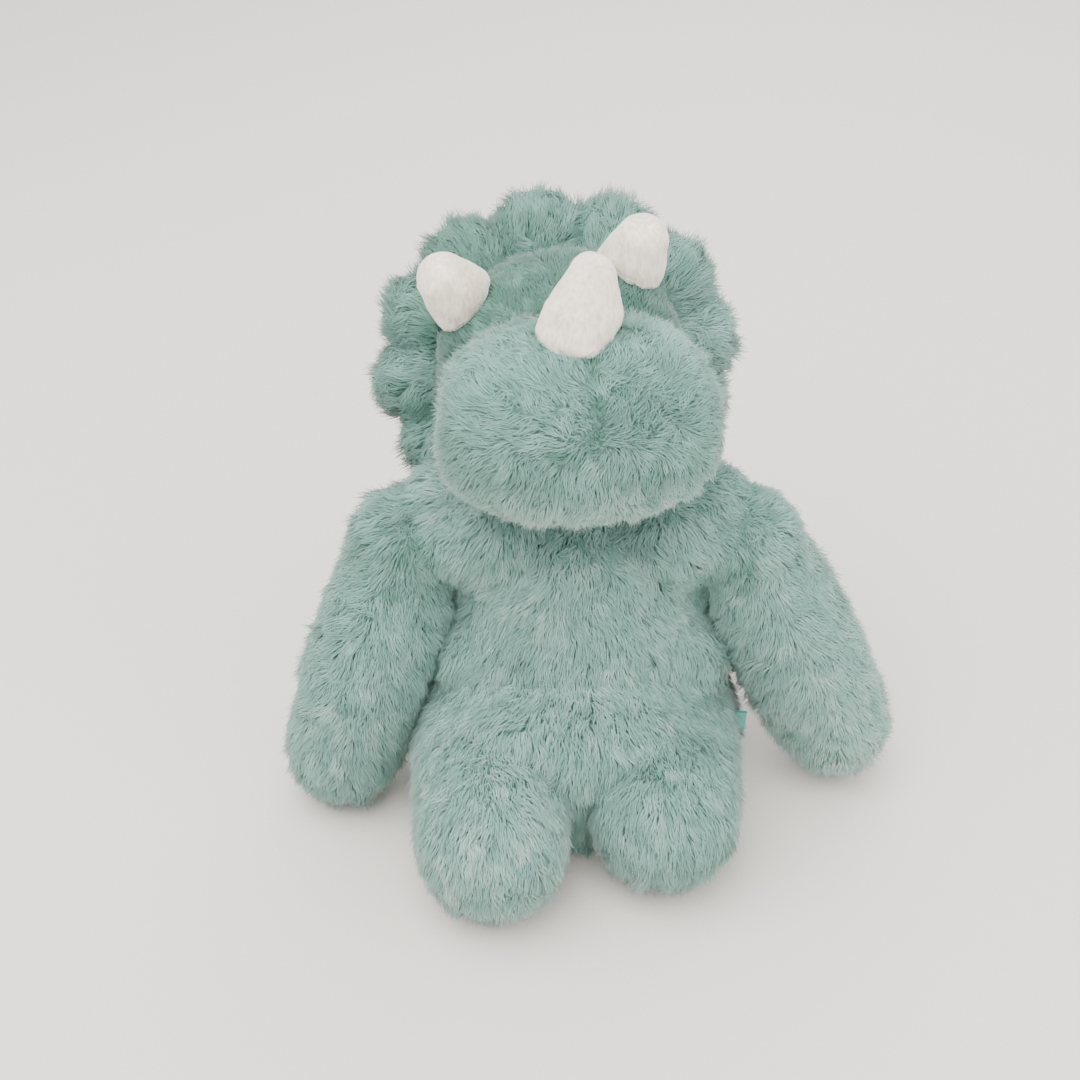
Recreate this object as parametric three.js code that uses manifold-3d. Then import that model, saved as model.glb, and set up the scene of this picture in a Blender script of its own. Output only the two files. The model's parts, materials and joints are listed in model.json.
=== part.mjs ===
// A plush three-horned dinosaur that sits on its seat and leans back a little.
// Millimetres, +Z up. It faces -Y, its own left side is +X, and it sits on Z = 0.
import * as THREE from "three";
import { mergeVertices } from "three/addons/utils/BufferGeometryUtils.js";
import Module from "manifold-3d";

const wasm = await Module();
wasm.setup();

// ---- driving dimensions ----------------------------------------------------
const FABRIC = 3.2; // backing cloth with the trodden-down part of its pile
const VELVET = 1.6; // short-pile cloth of the horns
const GAP = 0.35; // between two pieces that touch
const CLEARANCE = 1.6; // between pieces that move against each other
const ROOM = 3.2; // the same around a facetted limb, whose corners stand out further

const RECLINE = THREE.MathUtils.degToRad(14); // the back leans towards +Y
const TORSO_HEIGHT = 166;
const TORSO_BASE = 72; // half width of the flat seat
const TORSO_HIPS = 89; // half width at the widest place
const TORSO_WAIST = 71; // half width beside the forearms
const TORSO_CHEST = 63; // half width under the arms
const TORSO_NECK = 42; // half width at the top
const TORSO_BELLY = 0.78; // depth over width, in front
const TORSO_BACK = 0.64; // the same, behind
const SEAT_THICKNESS = 3;
const PELLET_LEVEL = 36; // top of the pellet bag in the seat

const NECK = [0, 37, 172]; // the neck's centre
const NECK_RADIUS = 26;
const HEAD_TILT = THREE.MathUtils.degToRad(-16); // nose up
const HEAD_YAW = THREE.MathUtils.degToRad(7); // nose towards +X
const HEAD_ROLL = THREE.MathUtils.degToRad(-6); // top towards -X
const CROWN = { centre: [0, 2, 60], half: [61, 50, 55] };
const SNOUT = { centre: [1, -54, 49], half: [62, 43, 45] };
const SNOUT_SQUARENESS = 2.5; // 2 is a plain ellipsoid

const FRILL = {
  centre: [0, 35, 54],
  tilt: THREE.MathUtils.degToRad(-8),
  ring: 56, // radius on which the lobes sit
  lobe: 24, // radius of one lobe
  lobes: 9,
  firstAngle: -30, // degrees, first lobe, measured from +X
  wide: 1.13, // width over height
  thickness: 34,
};

const NOSE_HORN = {
  at: [-2, -68, 79],
  lean: [0.39, -0.12, 1],
  base: 15,
  tip: 11,
  bulge: 6.5,
  length: 38,
};
const BROW_HORN = { base: 18.5, tip: 14.5, bulge: 1.5, length: 20 };
const BROW_HORN_LEFT = { ...BROW_HORN, at: [36, 0, 99], lean: [0.4, -0.5, 0.8] };
const BROW_HORN_RIGHT = { ...BROW_HORN, at: [-40, -2, 96], lean: [-0.5, -0.45, 0.75] };

const SHOULDER = [84, 22, 144];
const HAND_LEFT = [139, 6, 36];
const HAND_RIGHT = [-122.5, -11, 32];
const ARM = { root: 26, tip: 29, bulge: 5 };

const HIP = [43, -16, 40];
const FOOT_LEFT = [44, -64, 37.5];
const FOOT_RIGHT = [-42, -82, 37.5];
const LEG = { root: 39, tip: 36.5, bulge: 0.5 };

const TAIL_ROOT = [0, 50, 34];
const TAIL_TIP = [0, 104, 11];
const TAIL = { root: 24, tip: 9, bulge: 0 };

const LABEL = { low: [70, -12, 44], high: [90, -10.6, 57] }; // folded ribbon in the side seam

const LEG_SWING = [-20, 0, 20]; // degrees, about the side-to-side axis
const TAIL_WAG = [-25, 0, 25]; // degrees, about the upright axis

// ---- materials -------------------------------------------------------------
const FUR_GREEN = 0x8fb3a4;
const FUR_SHADE = 0x7fa697;
const IVORY = 0xe6dfd4;
const WADDING = 0xf2f1ec;
const PELLET_CLOTH = 0xd9d4c6;
const RIBBON = 0x4fa596;

function cloth(color, roughness) {
  return new THREE.MeshStandardMaterial({ color, roughness, metalness: 0 });
}

// ---- solids ----------------------------------------------------------------
function toSolid(geometry) {
  const bare = geometry.clone();
  bare.deleteAttribute("normal");
  bare.deleteAttribute("uv");
  const merged = mergeVertices(bare, 1e-4);
  return new wasm.Manifold(
    new wasm.Mesh({
      numProp: 3,
      vertProperties: new Float32Array(merged.attributes.position.array),
      triVerts: new Uint32Array(merged.index.array),
    })
  );
}

// Keeps the largest piece of a cut solid, so that no crumbs stay behind.
function largest(solid) {
  const pieces = solid.decompose();
  return pieces.reduce((best, piece) => (piece.volume() > best.volume() ? piece : best));
}

function toGeometry(solid) {
  const mesh = solid.getMesh();
  const geometry = new THREE.BufferGeometry();
  const points = new Float32Array(mesh.numVert * 3);
  for (let i = 0; i < mesh.numVert; i += 1) {
    points.set(mesh.vertProperties.subarray(i * mesh.numProp, i * mesh.numProp + 3), i * 3);
  }
  geometry.setAttribute("position", new THREE.BufferAttribute(points, 3));
  geometry.setIndex(new THREE.BufferAttribute(new Uint32Array(mesh.triVerts), 1));
  geometry.computeVertexNormals();
  return geometry;
}

const model = new THREE.Group();

function addPart(name, solid, material, parent = model) {
  const mesh = new THREE.Mesh(toGeometry(largest(solid)), material);
  mesh.name = name;
  parent.add(mesh);
}

function box(minimum, maximum) {
  const size = maximum.map((value, i) => value - minimum[i]);
  const middle = maximum.map((value, i) => (value + minimum[i]) / 2);
  const geometry = new THREE.BoxGeometry(...size);
  geometry.translate(...middle);
  return toSolid(geometry);
}

const FAR = 1000;

function below(height) {
  return box([-FAR, -FAR, -FAR], [FAR, FAR, height]);
}

function above(height) {
  return box([-FAR, -FAR, height], [FAR, FAR, FAR]);
}

const AROUND_HEAD = 18;
const RINGS_HEAD = 10;

// Presses the points of a unit ball outwards, part of the way to a rounded box.
function squareUp(geometry, squareness) {
  const place = geometry.attributes.position;
  for (let i = 0; i < place.count; i += 1) {
    const point = [place.getX(i), place.getY(i), place.getZ(i)];
    const sum = point.reduce((total, value) => total + Math.abs(value) ** squareness, 0);
    place.setXYZ(i, ...point.map((value) => value / sum ** (1 / squareness)));
  }
}

function ellipsoid(centre, half, around = AROUND_HEAD, rings = RINGS_HEAD, squareness = 2) {
  const geometry = new THREE.SphereGeometry(1, around, rings);
  geometry.rotateX(Math.PI / 2);
  squareUp(geometry, squareness);
  geometry.scale(...half);
  geometry.translate(...centre);
  return toSolid(geometry);
}

function grown(half, by) {
  return half.map((value) => value + by);
}

// A stuffed stump: a ball at the origin, a body along -Z and a round end.
function stumpProfile({ root, tip, bulge }, length, grow) {
  const points = [];
  const arcSteps = 3;
  const sideSteps = 3;
  for (let i = 0; i <= arcSteps; i += 1) {
    const angle = (i / arcSteps) * (Math.PI / 2);
    points.push([(root + grow) * Math.sin(angle), (root + grow) * Math.cos(angle)]);
  }
  for (let i = 1; i < sideSteps; i += 1) {
    const share = i / sideSteps;
    const radius = THREE.MathUtils.lerp(root, tip, share) + bulge * Math.sin(Math.PI * share);
    points.push([radius + grow, -length * share]);
  }
  for (let i = 0; i <= arcSteps; i += 1) {
    const angle = (i / arcSteps) * (Math.PI / 2);
    const across = (tip + grow) * Math.cos(angle);
    points.push([across, -length - (tip + grow) * Math.sin(angle)]);
  }
  points[0][0] = 0;
  points[points.length - 1][0] = 0;
  return points;
}

const AROUND_STUMP = 12;

function stump(sizes, length, grow, around = AROUND_STUMP) {
  const profile = stumpProfile(sizes, length, grow).reverse();
  const outline = profile.map(([radius, height]) => new THREE.Vector2(radius, height));
  const geometry = new THREE.LatheGeometry(outline, around);
  geometry.rotateX(Math.PI / 2);
  return toSolid(geometry);
}

// The turn that carries -Z onto the direction from one point to another.
function aim(from, to) {
  const direction = new THREE.Vector3(...to).sub(new THREE.Vector3(...from));
  const length = direction.length();
  const down = new THREE.Vector3(0, 0, -1);
  const turn = new THREE.Quaternion().setFromUnitVectors(down, direction.normalize());
  return { turn, length };
}

function placed(solid, turn, position) {
  const matrix = new THREE.Matrix4().makeRotationFromQuaternion(turn);
  matrix.setPosition(...position);
  return solid.transform(matrix.elements);
}

const AXIS_X = new THREE.Vector3(1, 0, 0);
const AXIS_Y = new THREE.Vector3(0, 1, 0);
const AXIS_Z = new THREE.Vector3(0, 0, 1);

const AROUND_BALL = 12;
const RINGS_BALL = 8;

function ball(centre, radius) {
  return ellipsoid(centre, [radius, radius, radius], AROUND_BALL, RINGS_BALL);
}

// A hollow whose flats, not its corners, reach the radius, so that a ball turns in it.
function ballSocket(centre, radius) {
  const flats = Math.cos(Math.PI / AROUND_BALL) * Math.cos(Math.PI / (2 * RINGS_BALL));
  return ball(centre, (radius + CLEARANCE) / flats);
}

// Room for a stump that swings about an axis through its root: the root's ball,
// and the body at each end and in the middle of its swing.
function swingRoom(sizes, from, to, axis, degrees) {
  const { turn, length } = aim(from, to);
  const slim = { root: sizes.root - CLEARANCE, tip: sizes.tip, bulge: sizes.bulge };
  const shape = stump(slim, length, ROOM);
  let room = ballSocket(from, sizes.root);
  for (const angle of degrees) {
    const swing = new THREE.Quaternion().setFromAxisAngle(axis, THREE.MathUtils.degToRad(angle));
    room = room.add(placed(shape, swing.multiply(turn), from));
  }
  return room;
}

function mirrored(point, side) {
  return [point[0] * side, point[1], point[2]];
}

// ---- head, in a frame whose origin is the neck's centre ----------------------
const headFrame = new THREE.Matrix4().makeRotationFromQuaternion(
  new THREE.Quaternion()
    .setFromAxisAngle(AXIS_Z, HEAD_YAW)
    .multiply(new THREE.Quaternion().setFromAxisAngle(AXIS_Y, HEAD_ROLL))
    .multiply(new THREE.Quaternion().setFromAxisAngle(AXIS_X, HEAD_TILT))
);

function neckBall(grow) {
  return ball([0, 0, 0], NECK_RADIUS + grow);
}

function neckSocket() {
  return ballSocket([0, 0, 0], NECK_RADIUS);
}

// Scalloped outline of the frill: one arc for each lobe, flat across the nape.
function frillOutline(inset) {
  const step = (180 - 2 * FRILL.firstAngle) / (FRILL.lobes - 1);
  const half = THREE.MathUtils.degToRad(step / 2);
  const reach = FRILL.lobe - inset;
  const valley = FRILL.ring * Math.cos(half) +
    Math.sqrt(reach ** 2 - (FRILL.ring * Math.sin(half)) ** 2);
  const open = Math.atan2(valley * Math.sin(half), valley * Math.cos(half) - FRILL.ring);
  const points = [];
  const arcSteps = 4;
  for (let i = 0; i < FRILL.lobes; i += 1) {
    const angle = THREE.MathUtils.degToRad(FRILL.firstAngle + step * i);
    for (let k = 0; k < arcSteps; k += 1) {
      const local = angle + THREE.MathUtils.lerp(-open, open, k / arcSteps);
      const x = FRILL.ring * Math.cos(angle) + reach * Math.cos(local);
      const z = FRILL.ring * Math.sin(angle) + reach * Math.sin(local);
      points.push(new THREE.Vector2(x * FRILL.wide, z));
    }
  }
  return points;
}

function frillBody(inset) {
  const roundness = 12;
  const geometry = new THREE.ExtrudeGeometry(new THREE.Shape(frillOutline(inset)), {
    depth: FRILL.thickness - 2 * roundness,
    bevelEnabled: true,
    bevelThickness: roundness - inset,
    bevelSize: roundness - inset,
    bevelOffset: inset - roundness,
    bevelSegments: 2,
    curveSegments: 1,
  });
  geometry.translate(0, 0, -(FRILL.thickness - 2 * roundness) / 2);
  geometry.rotateX(Math.PI / 2);
  return toSolid(geometry);
}

function inFrillPlace(solid) {
  const turn = new THREE.Quaternion().setFromAxisAngle(AXIS_X, FRILL.tilt);
  return placed(solid, turn, FRILL.centre);
}

function buildFrill(group) {
  const front = box([-FAR, -FAR, -FAR], [FAR, -GAP / 2, FAR]);
  const back = box([-FAR, GAP / 2, -FAR], [FAR, FAR, FAR]);
  const shell = frillBody(0).subtract(frillBody(FABRIC));
  const socket = ballSocket([0, 0, 0], NECK_RADIUS + FABRIC);
  const parts = [
    ["frill_front_panel", shell.intersect(front), FUR_GREEN, 0.95],
    ["frill_back_panel", shell.intersect(back), FUR_GREEN, 0.95],
    ["frill_wadding", frillBody(FABRIC + GAP), WADDING, 0.9],
  ];
  for (const [name, solid, color, roughness] of parts) {
    addPart(name, inFrillPlace(solid).subtract(socket), cloth(color, roughness), group);
  }
}

function crownBody(grow) {
  return ellipsoid(CROWN.centre, grown(CROWN.half, grow));
}

// The snout hangs level, whatever the lean of the head.
function snoutBody(grow) {
  const level = new THREE.Quaternion().setFromAxisAngle(AXIS_Y, -HEAD_ROLL);
  const half = grown(SNOUT.half, grow);
  const body = ellipsoid([0, 0, 0], half, AROUND_HEAD, RINGS_HEAD, SNOUT_SQUARENESS);
  return placed(body, level, SNOUT.centre);
}

function buildSkull(group) {
  const frill = inFrillPlace(frillBody(-GAP));
  const behindFrill = inFrillPlace(box([-FAR, 0, -FAR], [FAR, FAR, FAR]));
  const neckHole = neckSocket();
  const clear = (solid) => solid.subtract(frill).subtract(behindFrill).subtract(neckHole);
  const crownShell = crownBody(0).subtract(crownBody(-FABRIC));
  addPart("head_skin", clear(crownShell), cloth(FUR_GREEN, 0.95), group);
  addPart("head_stuffing", clear(crownBody(-FABRIC - GAP)), cloth(WADDING, 0.9), group);

  const snoutShell = snoutBody(0).subtract(snoutBody(-FABRIC));
  const snoutClear = (solid) => solid.subtract(crownBody(GAP)).subtract(neckHole);
  addPart("snout_skin", snoutClear(snoutShell), cloth(FUR_GREEN, 0.95), group);
  addPart("snout_stuffing", snoutClear(snoutBody(-FABRIC - GAP)), cloth(WADDING, 0.9), group);
}

function buildHorn(group, name, horn) {
  const to = horn.at.map((value, i) => value + horn.lean[i]);
  const { turn } = aim(horn.at, to);
  const sizes = { root: horn.base, tip: horn.tip, bulge: horn.bulge };
  const head = crownBody(GAP).add(snoutBody(GAP));
  const outer = stump(sizes, horn.length, 0);
  const inner = stump(sizes, horn.length, -VELVET);
  const filling = stump(sizes, horn.length, -VELVET - GAP);
  const skin = placed(outer.subtract(inner), turn, horn.at).subtract(head);
  const core = placed(filling, turn, horn.at).subtract(head);
  addPart(name + "_skin", skin, cloth(IVORY, 0.7), group);
  addPart(name + "_stuffing", core, cloth(WADDING, 0.9), group);
}

function buildHead() {
  const group = new THREE.Group();
  group.position.set(...NECK);
  group.quaternion.setFromRotationMatrix(headFrame);
  buildSkull(group);
  buildFrill(group);
  buildHorn(group, "nose_horn", NOSE_HORN);
  buildHorn(group, "brow_horn_left", BROW_HORN_LEFT);
  buildHorn(group, "brow_horn_right", BROW_HORN_RIGHT);
  model.add(group);
}

function buildNeck() {
  const group = new THREE.Group();
  group.position.set(...NECK);
  const ends = box([-FAR, -FAR, -NECK_RADIUS * 0.7], [FAR, FAR, NECK_RADIUS * 0.7]);
  const tube = neckBall(0).subtract(neckBall(-FABRIC)).intersect(ends);
  addPart("neck_gusset", tube, cloth(FUR_SHADE, 0.95), group);
  addPart("neck_stuffing", neckBall(-FABRIC - GAP).intersect(ends), cloth(WADDING, 0.9), group);
  model.add(group);
}

// ---- torso -------------------------------------------------------------------
// Half width of the pear at each share of its height.
const torsoCurve = new THREE.SplineCurve([
  new THREE.Vector2(TORSO_BASE, 0),
  new THREE.Vector2(TORSO_HIPS, 0.15),
  new THREE.Vector2(TORSO_HIPS - 5, 0.28),
  new THREE.Vector2(TORSO_WAIST, 0.45),
  new THREE.Vector2(TORSO_CHEST, 0.66),
  new THREE.Vector2(TORSO_CHEST - 5, 0.86),
  new THREE.Vector2(TORSO_NECK, 0.96),
]);

function torsoBody(grow) {
  const steps = 9;
  const outline = [new THREE.Vector2(0, -grow)];
  for (let i = 0; i <= steps; i += 1) {
    const point = torsoCurve.getPoint(i / steps);
    const lift = THREE.MathUtils.lerp(-grow, grow, i / steps);
    outline.push(new THREE.Vector2(point.x + grow, point.y * TORSO_HEIGHT + lift));
  }
  outline.push(new THREE.Vector2(0, TORSO_HEIGHT + grow));
  const geometry = new THREE.LatheGeometry(outline, 22);
  geometry.rotateX(Math.PI / 2);
  const place = geometry.attributes.position;
  for (let i = 0; i < place.count; i += 1) {
    const depth = place.getY(i) < 0 ? TORSO_BELLY : TORSO_BACK;
    const squeeze = (depth * TORSO_HIPS + grow) / (TORSO_HIPS + grow);
    place.setY(i, place.getY(i) * squeeze);
  }
  const slant = Math.tan(RECLINE);
  geometry.applyMatrix4(new THREE.Matrix4().makeShear(0, 0, 0, 0, 0, slant));
  return toSolid(geometry);
}

function sockets() {
  let hollow = ballSocket(NECK, NECK_RADIUS);
  for (const [side, foot] of [[1, FOOT_LEFT], [-1, FOOT_RIGHT]]) {
    hollow = hollow.add(ballSocket(mirrored(SHOULDER, side), ARM.root));
    hollow = hollow.add(swingRoom(LEG, mirrored(HIP, side), foot, AXIS_X, LEG_SWING));
  }
  return hollow.add(swingRoom(TAIL, TAIL_ROOT, TAIL_TIP, AXIS_Z, TAIL_WAG));
}

function buildTorso() {
  const hollow = sockets();
  const shell = torsoBody(0).subtract(torsoBody(-FABRIC));
  const seatTop = SEAT_THICKNESS + GAP;
  const skin = shell.intersect(above(seatTop)).subtract(hollow);
  addPart("torso_skin", skin, cloth(FUR_GREEN, 0.95));
  const seat = torsoBody(0).intersect(below(SEAT_THICKNESS)).intersect(above(0));
  addPart("seat_panel", seat.subtract(hollow), cloth(FUR_SHADE, 0.95));
  const inside = torsoBody(-FABRIC - GAP).subtract(hollow);
  const pellets = inside.intersect(above(seatTop)).intersect(below(PELLET_LEVEL));
  addPart("seat_pellet_bag", pellets, cloth(PELLET_CLOTH, 0.85));
  const wadding = inside.intersect(above(PELLET_LEVEL + GAP));
  addPart("torso_stuffing", wadding, cloth(WADDING, 0.9));
  const ribbon = box(LABEL.low, LABEL.high).subtract(torsoBody(GAP)).subtract(hollow);
  addPart("side_label", ribbon, cloth(RIBBON, 0.6));
}

// ---- limbs -------------------------------------------------------------------
// A sock of fur cloth, open where it is sewn on, with its filling inside.
function buildLimb(name, sizes, from, to, pellets) {
  const group = new THREE.Group();
  const { turn, length } = aim(from, to);
  group.position.set(...from);
  group.quaternion.copy(turn);
  const mouth = below(sizes.root * 0.6);
  const skin = stump(sizes, length, 0).subtract(stump(sizes, length, -FABRIC));
  addPart(name + "_skin", skin.intersect(mouth), cloth(FUR_GREEN, 0.95), group);
  const inside = stump(sizes, length, -FABRIC - GAP).intersect(mouth);
  if (pellets) {
    const level = -length * 0.72;
    const bag = inside.intersect(below(level));
    addPart(name + "_pellet_bag", bag, cloth(PELLET_CLOTH, 0.85), group);
    addPart(name + "_stuffing", inside.intersect(above(level + GAP)), cloth(WADDING, 0.9), group);
  } else {
    addPart(name + "_stuffing", inside, cloth(WADDING, 0.9), group);
  }
  model.add(group);
}

buildTorso();
buildNeck();
buildHead();
buildLimb("arm_left", ARM, SHOULDER, HAND_LEFT, false);
buildLimb("arm_right", ARM, mirrored(SHOULDER, -1), HAND_RIGHT, false);
buildLimb("leg_left", LEG, HIP, FOOT_LEFT, true);
buildLimb("leg_right", LEG, mirrored(HIP, -1), FOOT_RIGHT, true);
buildLimb("tail", TAIL, TAIL_ROOT, TAIL_TIP, false);

export default model;
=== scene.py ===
import json
import math

import bpy
import numpy as np
from mathutils import Matrix, Vector, kdtree
from mathutils.bvhtree import BVHTree


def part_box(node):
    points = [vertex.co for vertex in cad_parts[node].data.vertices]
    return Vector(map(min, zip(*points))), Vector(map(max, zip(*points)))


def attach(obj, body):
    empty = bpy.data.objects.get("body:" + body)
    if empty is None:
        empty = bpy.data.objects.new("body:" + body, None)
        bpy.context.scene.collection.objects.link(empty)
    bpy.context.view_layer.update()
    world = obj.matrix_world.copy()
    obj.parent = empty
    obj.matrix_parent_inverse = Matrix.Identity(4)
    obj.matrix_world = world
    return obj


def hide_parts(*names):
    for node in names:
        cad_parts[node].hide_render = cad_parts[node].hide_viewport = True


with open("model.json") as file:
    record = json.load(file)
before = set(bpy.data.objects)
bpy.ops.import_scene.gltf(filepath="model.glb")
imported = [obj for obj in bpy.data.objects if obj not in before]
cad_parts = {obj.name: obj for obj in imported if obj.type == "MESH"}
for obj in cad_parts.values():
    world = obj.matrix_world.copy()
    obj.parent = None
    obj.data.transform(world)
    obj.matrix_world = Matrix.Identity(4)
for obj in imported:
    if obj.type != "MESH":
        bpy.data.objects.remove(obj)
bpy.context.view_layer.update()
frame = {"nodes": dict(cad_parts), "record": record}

# A sitting plush horned dinosaur. Each stuffed piece is a puffed cloth form made from its
# filling, and its long pile is grown on it as tapered locks that follow the way the fur lies.

MM = 0.001
JOINTS = {joint["name"]: joint for joint in frame["record"]["behaviour"]["joints"]}
FLOOR = 0.4 * MM  # no hair goes below this height
CLOTH_FLOOR = 0.8 * MM  # nor any cloth below this one
CLOTH_SEARCH = 12 * MM  # cloth further than this from its filling is left where it is


def joint_at(name):
    return np.array(JOINTS[name]["pos_m"], float)


NECK = joint_at("neck_turn")
HEAD_TILT = math.radians(-16)
HEAD_YAW = math.radians(7)
HEAD_ROLL = math.radians(-6)
HEAD_FRAME = (
    Matrix.Rotation(HEAD_YAW, 3, "Z") @ Matrix.Rotation(HEAD_ROLL, 3, "Y")
    @ Matrix.Rotation(HEAD_TILT, 3, "X")
)
HEAD_AXES = np.array(HEAD_FRAME)  # columns are the head's own X, Y and Z


def to_head(points):
    return (points - NECK) @ HEAD_AXES


def from_head(vectors):
    return vectors @ HEAD_AXES.T


def unit(vectors):
    length = np.linalg.norm(vectors, axis=-1, keepdims=True)
    return vectors / np.maximum(length, 1e-9)


# ---- camera, floor and light -------------------------------------------------
CAMERA_TARGET = Vector((-0.0185, 0.0, 0.130))
CAMERA_RAISE = 0.025  # the view is centred this far above the target, along the image
CAMERA_DISTANCE = 0.75
CAMERA_ELEVATION = math.radians(38)
CAMERA_LENS = 50


def make_camera():
    data = bpy.data.cameras.new("camera")
    data.lens = CAMERA_LENS
    camera = bpy.data.objects.new("camera", data)
    bpy.context.collection.objects.link(camera)
    sight = Vector((0, math.cos(CAMERA_ELEVATION), -math.sin(CAMERA_ELEVATION)))
    up = Vector((0, math.sin(CAMERA_ELEVATION), math.cos(CAMERA_ELEVATION)))
    camera.location = CAMERA_TARGET + up * CAMERA_RAISE - sight * CAMERA_DISTANCE
    camera.rotation_euler = sight.to_track_quat("-Z", "Y").to_euler()
    data.clip_start = 0.01
    data.clip_end = 20
    bpy.context.scene.camera = camera


FLOOR_REACH = 3.0
LIGHT_AIM = Vector((0, 0, 0.12))


def make_floor():
    corners = [(x * FLOOR_REACH, y * FLOOR_REACH, 0) for x, y in ((-1, -1), (1, -1), (1, 1), (-1, 1))]
    mesh = bpy.data.meshes.new("floor")
    mesh.from_pydata(corners, [], [(0, 1, 2, 3)])
    floor = bpy.data.objects.new("floor", mesh)
    bpy.context.collection.objects.link(floor)
    material = bpy.data.materials.new("floor_paper")
    material.use_nodes = True
    shader = material.node_tree.nodes["Principled BSDF"]
    shader.inputs["Base Color"].default_value = (0.72, 0.68, 0.64, 1)
    shader.inputs["Roughness"].default_value = 0.9
    floor.data.materials.append(material)


def add_light(name, place, size, power, color):
    data = bpy.data.lights.new(name, "AREA")
    data.size = size
    data.energy = power
    data.color = color
    light = bpy.data.objects.new(name, data)
    bpy.context.collection.objects.link(light)
    light.location = place
    light.rotation_euler = (LIGHT_AIM - Vector(place)).to_track_quat("-Z", "Y").to_euler()


def make_light():
    add_light("key", (-0.5, -0.35, 1.5), 1.6, 46, (1.0, 0.985, 0.96))
    add_light("fill", (1.2, -0.9, 1.0), 1.8, 24, (1.0, 1.0, 0.98))
    add_light("back", (0.4, 1.2, 1.2), 1.4, 18, (1.0, 1.0, 1.0))
    world = bpy.data.worlds.new("studio")
    world.use_nodes = True
    sky = world.node_tree.nodes["Background"]
    sky.inputs["Color"].default_value = (1.0, 0.985, 0.955, 1)
    sky.inputs["Strength"].default_value = 1.35
    bpy.context.scene.world = world


# ---- materials ---------------------------------------------------------------
def new_material(name, roughness, sheen=0.0):
    material = bpy.data.materials.new(name)
    material.use_nodes = True
    shader = material.node_tree.nodes["Principled BSDF"]
    shader.inputs["Roughness"].default_value = roughness
    shader.inputs["Sheen Weight"].default_value = sheen
    shader.inputs["Sheen Roughness"].default_value = 0.5
    return material, material.node_tree, shader


def ramp(tree, stops, factor):
    node = tree.nodes.new("ShaderNodeValToRGB")
    elements = node.color_ramp.elements
    while len(elements) < len(stops):
        elements.new(0.5)
    for element, (position, color) in zip(elements, stops):
        element.position = position
        element.color = (*color, 1)
    tree.links.new(factor, node.inputs["Fac"])
    return node.outputs["Color"]


MIX_FIRST, MIX_SECOND, MIX_RESULT = 6, 7, 2  # the colour sockets of a Mix node


def multiply(tree, first, second):
    node = tree.nodes.new("ShaderNodeMix")
    node.data_type = "RGBA"
    node.blend_type = "MULTIPLY"
    node.inputs["Factor"].default_value = 1
    tree.links.new(first, node.inputs[MIX_FIRST])
    tree.links.new(second, node.inputs[MIX_SECOND])
    return node.outputs[MIX_RESULT]


def noise(tree, scale, detail=3.0, stretch=None):
    place = tree.nodes.new("ShaderNodeTexCoord")
    node = tree.nodes.new("ShaderNodeTexNoise")
    node.inputs["Scale"].default_value = scale
    node.inputs["Detail"].default_value = detail
    source = place.outputs["Object"]
    if stretch:
        mapping = tree.nodes.new("ShaderNodeMapping")
        mapping.inputs["Scale"].default_value = stretch
        tree.links.new(source, mapping.inputs["Vector"])
        source = mapping.outputs["Vector"]
    tree.links.new(source, node.inputs["Vector"])
    return node.outputs["Fac"]


def add_bump(tree, shader, height, strength, depth):
    """Fine relief in the shading, this many millimetres deep."""
    bump = tree.nodes.new("ShaderNodeBump")
    bump.inputs["Strength"].default_value = strength
    bump.inputs["Distance"].default_value = depth * MM
    tree.links.new(height, bump.inputs["Height"])
    tree.links.new(bump.outputs["Normal"], shader.inputs["Normal"])


FUR_UV = "OFBake"  # across: the lock's tint; along: root to tip
FUR_TINTS = [
    (0.0, (0.055, 0.155, 0.120)),
    (0.3, (0.120, 0.272, 0.225)),
    (0.6, (0.205, 0.392, 0.345)),
    (0.85, (0.320, 0.505, 0.455)),
    (1.0, (0.450, 0.575, 0.530)),
]
FUR_SHADES = [
    (0.0, (0.74, 0.78, 0.77)),
    (0.35, (0.89, 0.91, 0.90)),
    (0.75, (0.97, 0.98, 0.98)),
    (1.0, (1.0, 1.0, 1.0)),
]


def fur_material():
    material, tree, shader = new_material("sage_pile", 0.75, 0.25)
    uv = tree.nodes.new("ShaderNodeUVMap")
    uv.uv_map = FUR_UV
    split = tree.nodes.new("ShaderNodeSeparateXYZ")
    tree.links.new(uv.outputs["UV"], split.inputs["Vector"])
    tint = ramp(tree, FUR_TINTS, split.outputs["X"])
    shade = ramp(tree, FUR_SHADES, split.outputs["Y"])
    tree.links.new(multiply(tree, tint, shade), shader.inputs["Base Color"])
    return material


def backing_material():
    material, tree, shader = new_material("fur_backing", 0.9, 0.1)
    stops = [(0.3, (0.16, 0.32, 0.275)), (0.7, (0.21, 0.39, 0.34))]
    tree.links.new(ramp(tree, stops, noise(tree, 160)), shader.inputs["Base Color"])
    return material


def trodden_material():
    material, tree, shader = new_material("trodden_pile", 0.85, 0.2)
    grain = noise(tree, 700, 4, (1, 0.35, 1))
    stops = [(0.3, (0.12, 0.23, 0.195)), (0.7, (0.23, 0.37, 0.325))]
    tree.links.new(ramp(tree, stops, grain), shader.inputs["Base Color"])
    add_bump(tree, shader, grain, 0.6, 1)
    return material


def velvet_material():
    material, tree, shader = new_material("ivory_velvet", 0.55, 0.5)
    # the velvet's ivory with painted sheen: large mottled patches and fine streaks along the nap,
    # lighter and darker; the nap's relief itself is a real bump
    patches = noise(tree, 70, 4)
    nap_and_sheen = noise(tree, 650, 3, (1, 1, 0.3))
    stops = [(0.36, (0.76, 0.65, 0.53)), (0.6, (0.97, 0.885, 0.76))]
    fine_sheen = [(0.36, (0.80, 0.775, 0.75)), (0.6, (1.0, 1.0, 1.0))]
    color = multiply(tree, ramp(tree, stops, patches), ramp(tree, fine_sheen, nap_and_sheen))
    tree.links.new(color, shader.inputs["Base Color"])
    add_bump(tree, shader, nap_and_sheen, 0.5, 0.8)
    return material


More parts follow.
